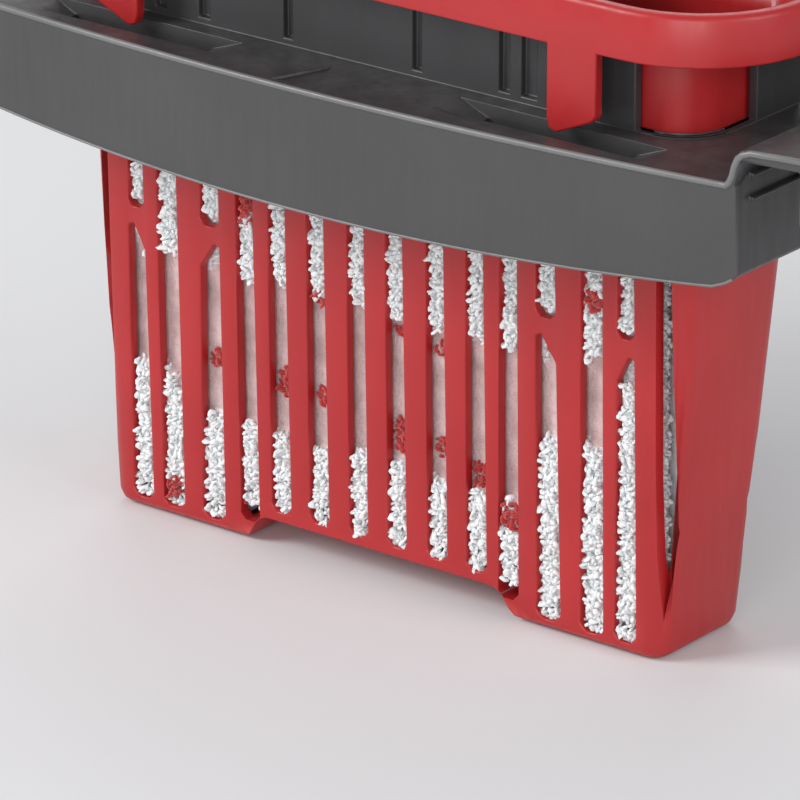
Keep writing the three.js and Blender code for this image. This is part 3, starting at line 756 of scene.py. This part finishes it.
@dataclass
class MopPad:
    """One half of the microfibre pad, folded over its plate and pressed in the basket.

    Attributes:
        side: Which half it is.
        half_width: Half its width, in millimetres.
        low: Height of its fold.
        top: Height of its outer edge.
        inner_top: Height of its inner edge.
        outer_depth: Thickness of its outer layer.
        slot_depth: Room for the plate inside it.
        inner_depth: Thickness of its inner layer.
        skin: Room between it and the basket's wall.
        pitch: Distance between its loops.
        droop: How much lower the fold hangs over the basket's feet.
        settle: How much lower it hangs between them.
        band_low: Height of the smooth band's lower side.
        band_top: Height of its upper side.
        seed: Start of its random draws.
    """

    side: Side
    half_width: float = 74.5
    low: float = 11.5
    top: float = 111.0
    inner_top: float = 103.0
    outer_depth: float = 4.4
    slot_depth: float = 3.3
    inner_depth: float = 1.6
    skin: float = 0.6
    pitch: float = 0.98
    droop: float = 8.3
    settle: float = 1.7
    band_low: float = 28.0
    band_top: float = 63.5
    seed: int = 7
    wall_low: float = field(init=False)
    wall_top: float = field(init=False)

    def __post_init__(self) -> None:
        """Sets the basket's inner wall at its feet and 90 mm up."""
        front = self.side is Side.FRONT
        self.wall_low, self.wall_top = (-12.85, -14.4) if front else (13.1, 22.2)

    def wall(self, z: float) -> float:
        """The Y of the basket's inner wall at a height."""
        return lerp(self.wall_low, self.wall_top, z / 90)

    def sink(self, x: float, z: float) -> float:
        """The height that a height on the section comes to, where the fold hangs into the basket's feet."""
        depth = lerp(self.settle, self.droop, ease(38.5, 42.5, abs(x)))
        return z - depth * (1 - ease(self.low, self.low + 24, z))

    def loops_share(self, x: float, z: float) -> float:
        """How much long pile there is at a place: 1 in the looped bands, 0 on the smooth band."""
        wobble = 2.2 * noise.noise(Vector((x * 0.09, z * 0.05, self.seed)))
        ragged = 4 * noise.noise(Vector((x * 0.35, 0.0, self.seed)))
        upper = self.band_top + ragged + 6 * ease(52, 66, x) + wobble
        right = self.band_low + 18 * ease(40, 46, x) + 24 * ease(62, 66, x)
        lower = right + 9 * (1 - ease(-64, -50, x)) - wobble
        return max(ease(upper - 1.0, upper + 1.0, z), 1 - ease(lower - 1.0, lower + 1.0, z))

    def surface(self, x: float, z: float) -> float:
        """How far the outer face stands out of its resting plane at a place, in millimetres."""
        open_here = slot_share(x, z)
        loops = self.loops_share(x, z)
        soft = noise.noise(Vector((x * 0.12, z * 0.1, self.seed + 3.0)))
        crease = noise.noise(Vector((x * 0.05, z * 0.45, self.seed + 9.0)))
        flat = 0.5 * open_here + 0.35 * crease - 0.5
        puffed = 0.35 + 1.5 * open_here + 0.45 * soft
        edge = ease(0, 5, self.half_width - abs(x)) * ease(0, 6, self.top - z)
        return lerp(-1.2, lerp(flat, puffed, loops), edge)

    def section(self) -> list[tuple[float, float, bool]]:
        """The pad's section as (depth in from the wall, height, on the outer face) round its outline."""
        back = self.outer_depth + self.slot_depth + self.inner_depth
        gap = self.outer_depth + self.slot_depth
        fold, lining = 4, 6  # heights over the fold's lowest point of its round and of the plate's room
        outline = [(self.skin, self.top - i * (self.top - self.low - fold) / 60, True) for i in range(61)]
        fold_r = (back - self.skin) / 2
        for i in range(1, 10):
            a = math.pi * i / 10
            height = self.low + fold - fold * math.sin(a)
            outline.append((self.skin + fold_r * (1 - math.cos(a)), height, False))
        outline += [(back, self.low + fold + i * (self.inner_top - self.low - fold) / 24, False)
                    for i in range(25)]
        outline.append((gap, self.inner_top, False))
        outline += [(gap, self.inner_top - i * (self.inner_top - self.low - lining) / 8, False)
                    for i in range(1, 9)]
        outline += [(self.outer_depth, self.low + lining + i * (self.top - self.low - lining) / 12, False)
                    for i in range(13)]
        return outline

    def body(self) -> bmesh.types.BMesh:
        """The padded body: a folded sheet of padding with a crowned, pressed outer face."""
        outline = self.section()
        columns = 150
        bm = bmesh.new()
        bmesh.ops.create_grid(bm, x_segments=columns, y_segments=len(outline), size=0.5)
        sign = self.side.value
        for vert in bm.verts:
            column = round((vert.co.x + 0.5) * columns)
            row = round((vert.co.y + 0.5) * len(outline)) % len(outline)
            depth, z, outer = outline[row]
            x = lerp(-self.half_width, self.half_width, column / columns)
            z = self.sink(x, z)
            proud = self.surface(x, z) if outer else 0.0
            wavy = 0.5 * noise.noise(Vector((0.3 * z, self.seed, 0.2 * depth))) * abs(x) / self.half_width
            vert.co = place(x + math.copysign(wavy, x), self.wall(z) + sign * (proud - depth), z)
        bmesh.ops.remove_doubles(bm, verts=bm.verts, dist=WELD)
        bmesh.ops.holes_fill(bm, edges=[e for e in bm.edges if e.is_boundary], sides=0)
        bmesh.ops.recalc_face_normals(bm, faces=bm.faces)
        return bm

    def loop_shapes(self, draw: random.Random, finish: int) -> list[bpy.types.Mesh]:
        """Makes a few different yarn loops to be laid all over the pad.

        Args:
            draw: The random draws.
            finish: Which of the pad's finishes they take.

        Returns:
            Loops with their feet at the origin, standing along +Z, in metres.
        """
        shapes = []
        for kind in range(8):
            bm = bmesh.new()
            radius, reach = draw.uniform(0.32, 0.44) * MM, draw.uniform(0.5, 0.8) * MM
            ring = bmesh.ops.create_circle(bm, cap_ends=False, radius=radius, segments=5,
                                           matrix=Matrix.Translation((reach, 0, 0)))
            geom = ring["verts"] + bm.edges[:]
            bmesh.ops.spin(bm, geom=geom, cent=(0, 0, 0), axis=(0, -1, 0), angle=math.radians(180), steps=5,
                           use_merge=False)
            tall, lean = draw.uniform(1.3, 2.1), draw.uniform(-0.6, 0.6)
            for vert in bm.verts:
                z = vert.co.z * tall
                swirl = 0.25 * MM * noise.noise(Vector((vert.co.x * 900, z * 900, kind * 5.1)))
                bend = lean * z
                vert.co = Vector((vert.co.x * 0.9 + bend * 0.6 + swirl, vert.co.y + bend * 0.4 - swirl, z))
            bmesh.ops.recalc_face_normals(bm, faces=bm.faces)
            for face in bm.faces:
                face.material_index = finish
            mesh = bpy.data.meshes.new(f"loop_{kind}")
            bm.to_mesh(mesh)
            bm.free()
            shapes.append(mesh)
        return shapes

    def red_share(self, x: float, z: float) -> float:
        """How likely a loop at a place is of the red yarn."""
        if self.side is Side.BACK:
            x = -x
        return max(1 - ease(0.7, 1.1, math.dist((x, z), (mx, mz)) / size) for mx, mz, size in RED_TUFTS)

    def feet(self, draw: random.Random) -> list[tuple[float, float, Vector, Vector, float]]:
        """Scatters places for loops over the outer face and the two ends.

        Args:
            draw: The random draws.

        Returns:
            Each place as x, z, the loop's foot in metres, its way out, and how free it is to stand.
        """
        sign, step, spots = self.side.value, self.pitch * 0.87, []
        for row in range(int((self.top - self.low) / step) + 2):
            level = self.low - 0.6 + row * step
            for column in range(int(2 * self.half_width / self.pitch) + 1):
                x = -self.half_width + (column + 0.5 * (row % 2)) * self.pitch + draw.uniform(-0.5, 0.5)
                z = self.sink(x, level + draw.uniform(-0.5, 0.5))
                free = slot_share(x, z)
                if abs(x) > self.half_width - 0.6 or (free < 0.15 and (row + column) % 2):
                    continue
                foot = place(x, self.wall(z) + sign * (self.surface(x, z) - self.skin - 0.45), z)
                spots.append((x, z, foot, Vector((0.0, sign, 0.0)), free))
            for end in (-1, 1):
                for layer in range(4):
                    x, z = end * self.half_width, self.sink(self.half_width, level + draw.uniform(-0.5, 0.5))
                    foot = place(x - end * 0.7, self.wall(z) - sign * (1.1 + layer), z)
                    spots.append((x, z, foot, Vector((end, 0.5 * sign, 0.0)).normalized(), 0.7))
        return spots

    def pile(self, bm: bmesh.types.BMesh) -> int:
        """Lays yarn loops over the outer face and the ends of a body.

        Args:
            bm: The body's mesh, which takes the loops.

        Returns:
            How many loops it took.
        """
        draw = random.Random(self.seed)
        white_loops, red_loops = self.loop_shapes(draw, 0), self.loop_shapes(draw, 1)
        count = 0
        for x, z, foot, out, free in self.feet(draw):
            turn, tip, grow = draw.uniform(0, math.tau), draw.gauss(0, 0.4), draw.uniform(0.85, 1.25)
            chance, red, loops = draw.random(), self.red_share(x, z), self.loops_share(x, z)
            shape = draw.choice(red_loops if red > chance else white_loops)
            if loops < 0.5 and red < chance and abs(x) < self.half_width:
                continue
            height = lerp(0.5, 1.2, free) * grow * (1.0 if loops > 0.5 else 0.75)
            stand = out.to_track_quat("Z", "Y").to_matrix().to_4x4()
            lie = Matrix.Rotation(tip, 4, "X") @ Matrix.Rotation(draw.gauss(0.25, 0.35), 4, "Y")
            size = Matrix.Diagonal((grow, grow, height, 1.0))
            loop = shape.copy()
            loop.transform(Matrix.Translation(foot) @ stand @ lie @ Matrix.Rotation(turn, 4, "Z") @ size)
            bm.from_mesh(loop)
            bpy.data.meshes.remove(loop)
            count += 1
        for shape in white_loops + red_loops:
            bpy.data.meshes.remove(shape)
        return count

    def build(self, finishes: Finishes) -> None:
        """Builds the pad and its pile, and dresses them."""
        word = self.side.name.lower()
        bm = self.body()
        for face in bm.faces:
            middle = bench(face.calc_center_median())
            # Smooth-band faces take the pinkish grey backing, a painted shade and red reflection.
            face.material_index = 0 if self.loops_share(middle.x, middle.z) > 0.5 else 2
        loops = self.pile(bm)
        pad = finished(bm, f"microfibre_pad_{word}", 120)
        dress(pad, finishes.white_yarn, finishes.red_yarn, finishes.painted_pink_shade_backing)
        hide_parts(f"mop_pad_{word}")
        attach(pad, f"plate_{word}")
        LOG.info("%s: %d loops, %d faces", pad.name, loops, len(pad.data.polygons))


# ---------------------------------------------------------------- mop head
@dataclass
class MopHead:
    """The folding plates, hub, pedal, swivel and pole socket.

    Attributes:
        edge: Radius of the moulded edges, in millimetres.
        pin_edge: Radius of the pins' ends, in millimetres.
    """

    edge: float = 0.35
    pin_edge: float = 0.2

    def parts(self, finishes: Finishes) -> list[tuple[str, str, str, bpy.types.Material, Slot, float]]:
        """Each part's node, piece name, body, finish, slot and edge radius."""
        black, red, steel = finishes.black, finishes.pedal_red, finishes.steel
        return [
            ("mop_plate_front", "folding_plate_front", "plate_front", black, Slot.HEAD, self.edge),
            ("mop_plate_back", "folding_plate_back", "plate_back", black, Slot.HEAD, self.edge),
            ("mop_hub", "hub_block", "mop", black, Slot.HEAD, self.edge),
            ("pole_socket", "pole_socket_cup", "socket", black, Slot.HEAD, self.edge),
            ("foot_pedal", "foot_pedal_tread", "pedal", red, Slot.PEDAL, self.edge),
            ("swivel_link", "swivel_joint", "swivel", red, Slot.PEDAL, self.edge),
            ("hinge_pin_front", "hinge_rod_front", "mop", steel, Slot.PIN, self.pin_edge),
            ("hinge_pin_back", "hinge_rod_back", "mop", steel, Slot.PIN, self.pin_edge),
            ("swivel_pin_lower", "swivel_rod_lower", "mop", steel, Slot.PIN, self.pin_edge),
            ("swivel_pin_upper", "swivel_rod_upper", "swivel", steel, Slot.PIN, self.pin_edge),
            ("pedal_pin", "pedal_rod", "mop", steel, Slot.PIN, self.pin_edge),
        ]

    def build(self, finishes: Finishes) -> None:
        """Builds the parts and dresses them."""
        for node, name, body, finish, slot, edge in self.parts(finishes):
            part = softened(node, name, edge * MM)
            dress(part, finish)
            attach(part, body)
            LOG.info("%s: %d faces", name, len(part.data.polygons))


# ---------------------------------------------------------------- studio
def heading(azimuth: float, elevation: float) -> Vector:
    """The way out to a camera or lamp, from degrees right of the front and above the horizon."""
    a, e = math.radians(azimuth), math.radians(elevation)
    return Vector((math.sin(a) * math.cos(e), -math.cos(a) * math.cos(e), math.sin(e)))


@dataclass
class Studio:
    """Floor, lights and camera.

    Attributes:
        azimuth: Degrees that the camera stands to the right of straight in front.
        elevation: Degrees that it stands above the horizon.
        distance: Its distance from what it looks at, in metres.
        lens: Focal length, in millimetres on a 36 mm sensor.
        target: What it looks at, in millimetres from the basket's feet.
    """

    azimuth: float = 38.124
    elevation: float = 21.253
    distance: float = 1.5053
    lens: float = 304.07
    target: tuple[float, float, float] = (-5.945, 0.0, 36.745)

    def camera(self) -> None:
        """Makes the camera and gives it to the scene."""
        back = heading(self.azimuth, self.elevation)
        data = bpy.data.cameras.new("camera")
        data.lens, data.sensor_width, data.sensor_fit = self.lens, 36.0, "HORIZONTAL"
        data.clip_start, data.clip_end = 0.05, 60.0
        camera = bpy.data.objects.new("camera", data)
        camera.location = place(*self.target) + back * self.distance
        camera.rotation_euler = back.to_track_quat("Z", "Y").to_euler()
        bpy.context.scene.collection.objects.link(camera)
        bpy.context.scene.camera = camera

    def floor(self) -> None:
        """Lays the pale floor under the basket's feet."""
        bm = bmesh.new()
        bmesh.ops.create_grid(bm, x_segments=4, y_segments=4, size=9.0)
        low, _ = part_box("press_basket")
        bmesh.ops.translate(bm, verts=bm.verts, vec=(0.0, 0.0, low.z - 0.0002))
        floor = finished(bm, "studio_floor")
        nodes, shader, material = start_finish("pale_floor")
        cloud = nodes.noise(nodes.add("TexCoord").outputs["Object"], 3.0)
        nodes.link(nodes.mix(cloud.outputs["Fac"], (0.71, 0.71, 0.72), (0.74, 0.74, 0.745)),
                   shader.inputs["Base Color"])
        shader.inputs["Roughness"].default_value = 0.8
        dress(floor, material)

    def lamp(self, name: str, azimuth: float, elevation: float, distance: float, size: float,
             power: float, tint: Colour = (1.0, 1.0, 1.0)) -> None:
        """Hangs one soft lamp that faces the basket.

        Args:
            name: The lamp's name.
            azimuth: Degrees right of straight in front.
            elevation: Degrees above the horizon.
            distance: Metres from the basket.
            size: Width of the lamp's square, in metres.
            power: Its power, in watts.
            tint: The colour of its light.
        """
        back = heading(azimuth, elevation)
        data = bpy.data.lights.new(name, "AREA")
        data.shape, data.size, data.energy, data.color = "SQUARE", size, power, tint
        lamp = bpy.data.objects.new(name, data)
        lamp.location = place(0, 0, 60) + back * distance
        lamp.rotation_euler = back.to_track_quat("Z", "Y").to_euler()
        lamp.visible_camera = False
        bpy.context.scene.collection.objects.link(lamp)

    def light(self) -> None:
        """Sets the soft surround and the lamps."""
        world = bpy.data.worlds.new("soft_surround")
        world.use_nodes = True
        surround = world.node_tree.nodes["Background"]
        surround.inputs["Color"].default_value = (0.95, 0.97, 1.0, 1.0)
        surround.inputs["Strength"].default_value = 0.42
        bpy.context.scene.world = world
        self.lamp("key", -42, 34, 1.6, 0.7, 16.5)
        self.lamp("front_fill", 30, 14, 1.8, 1.0, 13.0)
        self.lamp("right_fill", 88, 24, 1.6, 0.8, 7.0)
        self.lamp("back_edge", 215, 40, 1.7, 0.9, 6.0)
        bpy.context.scene.view_settings.view_transform = "Standard"


def main() -> None:
    """Builds the studio and every piece, in order."""
    logging.basicConfig(level=logging.INFO, format="%(name)s %(message)s")
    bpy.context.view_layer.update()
    studio = Studio()
    studio.camera()
    studio.floor()
    studio.light()
    finishes = Finishes()
    RimTray().build(finishes)
    PressBasket().build(finishes)
    MopPad(Side.FRONT, seed=7).build(finishes)
    MopPad(Side.BACK, seed=23).build(finishes)
    MopHead().build(finishes)


if __name__ == "__main__":
    main()
